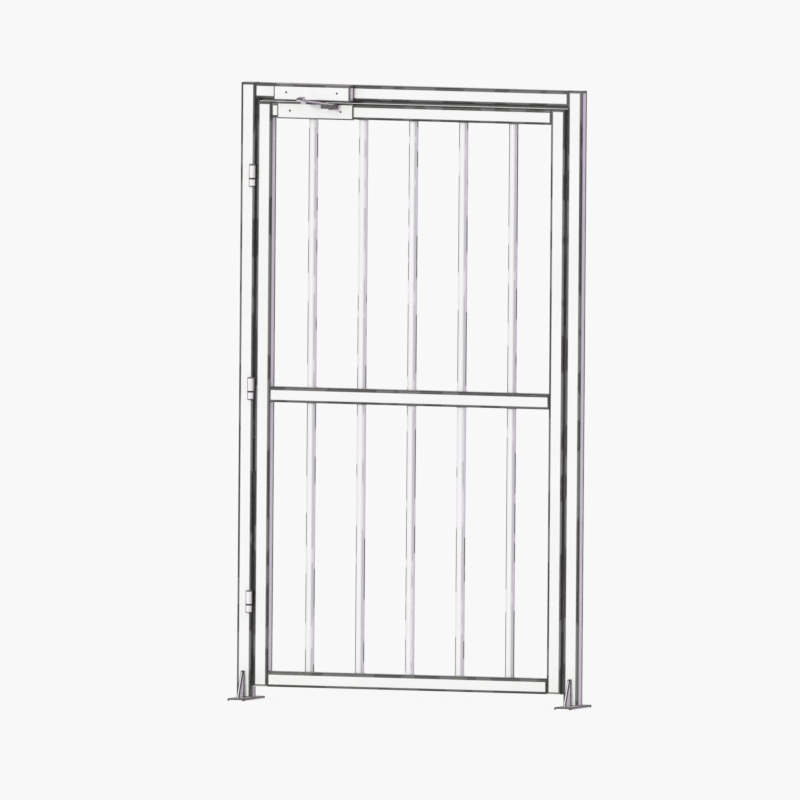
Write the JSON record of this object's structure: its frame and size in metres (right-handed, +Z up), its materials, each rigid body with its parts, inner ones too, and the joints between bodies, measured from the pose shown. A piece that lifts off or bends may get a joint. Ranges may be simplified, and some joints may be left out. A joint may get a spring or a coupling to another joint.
{
  "type": "turnstile side gate",
  "caption": "Pedestrian side gate of white square tube with round bars, hung on lift-off hinges between posts on base plates, with a door closer on its header.",
  "frame": {"origin": "centre of the underside of the hinge post's base plate", "axes": "+X right along the gate from the hinge post to the latch post, +Y back, +Z up; the leaf opens towards -Y"},
  "size_m": [1.186, 0.385, 2.01],
  "materials": {
    "frame_paint": "white powder coat on steel tube",
    "bar_paint": "white powder coat on round steel tube",
    "hinge_paint": "white powder coat on turned steel",
    "closer_paint": "smooth white enamel",
    "arm_steel": "white enamel on pressed steel, worn at the pivots"
  },
  "bodies": {
    "gate_frame": {"closer_body": "closer_paint", "closer_spindle": "arm_steel", "header": "frame_paint", "hinge_base_plate": "frame_paint", "hinge_gusset_back": "frame_paint", "hinge_gusset_front": "frame_paint", "hinge_post": "frame_paint", "hinge_post_cap": "frame_paint", "latch_base_plate": "frame_paint", "latch_gusset_back": "frame_paint", "latch_gusset_front": "frame_paint", "latch_post": "frame_paint", "latch_post_cap": "frame_paint", "post_hinge_low": "hinge_paint", "post_hinge_middle": "hinge_paint", "post_hinge_top": "hinge_paint"},
    "leaf": {"arm_plate": "closer_paint", "arm_shoe": "arm_steel", "bottom_rail": "frame_paint", "hinge_stile": "frame_paint", "hinge_stile_cap_low": "frame_paint", "hinge_stile_cap_top": "frame_paint", "latch_stile": "frame_paint", "latch_stile_cap_low": "frame_paint", "latch_stile_cap_top": "frame_paint", "leaf_hinge_low": "hinge_paint", "leaf_hinge_middle": "hinge_paint", "leaf_hinge_top": "hinge_paint", "lower_bar_1": "bar_paint", "lower_bar_2": "bar_paint", "lower_bar_3": "bar_paint", "lower_bar_4": "bar_paint", "lower_bar_5": "bar_paint", "middle_rail": "frame_paint", "shoe_pin": "arm_steel", "top_rail": "frame_paint", "upper_bar_1": "bar_paint", "upper_bar_2": "bar_paint", "upper_bar_3": "bar_paint", "upper_bar_4": "bar_paint", "upper_bar_5": "bar_paint"},
    "main_link": {"main_arm": "arm_steel", "elbow_rivet": "arm_steel"},
    "fore_link": {"forearm": "arm_steel"}
  },
  "joints": [
    {"name": "leaf_swing", "type": "hinge", "parent": "gate_frame", "child": "leaf", "pos_m": [0.019, -0.036, 0.311], "axis": [0, 0, -1], "range_deg": [0, 90]},
    {"name": "main_arm_turn", "type": "hinge", "parent": "gate_frame", "child": "main_link", "pos_m": [0.21, -0.05, 1.955], "axis": [0, 0, -1], "range_deg": [0, 86.04]},
    {"name": "forearm_turn", "type": "hinge", "parent": "leaf", "child": "fore_link", "pos_m": [0.305, -0.08, 1.947], "axis": [0, 0, -1], "range_deg": [0, 83.71]}
  ],
  "couplings": [
    {"joint": "main_arm_turn", "follows": "leaf_swing", "ratio": 0.9555},
    {"joint": "forearm_turn", "follows": "leaf_swing", "ratio": 0.92955}
  ]
}
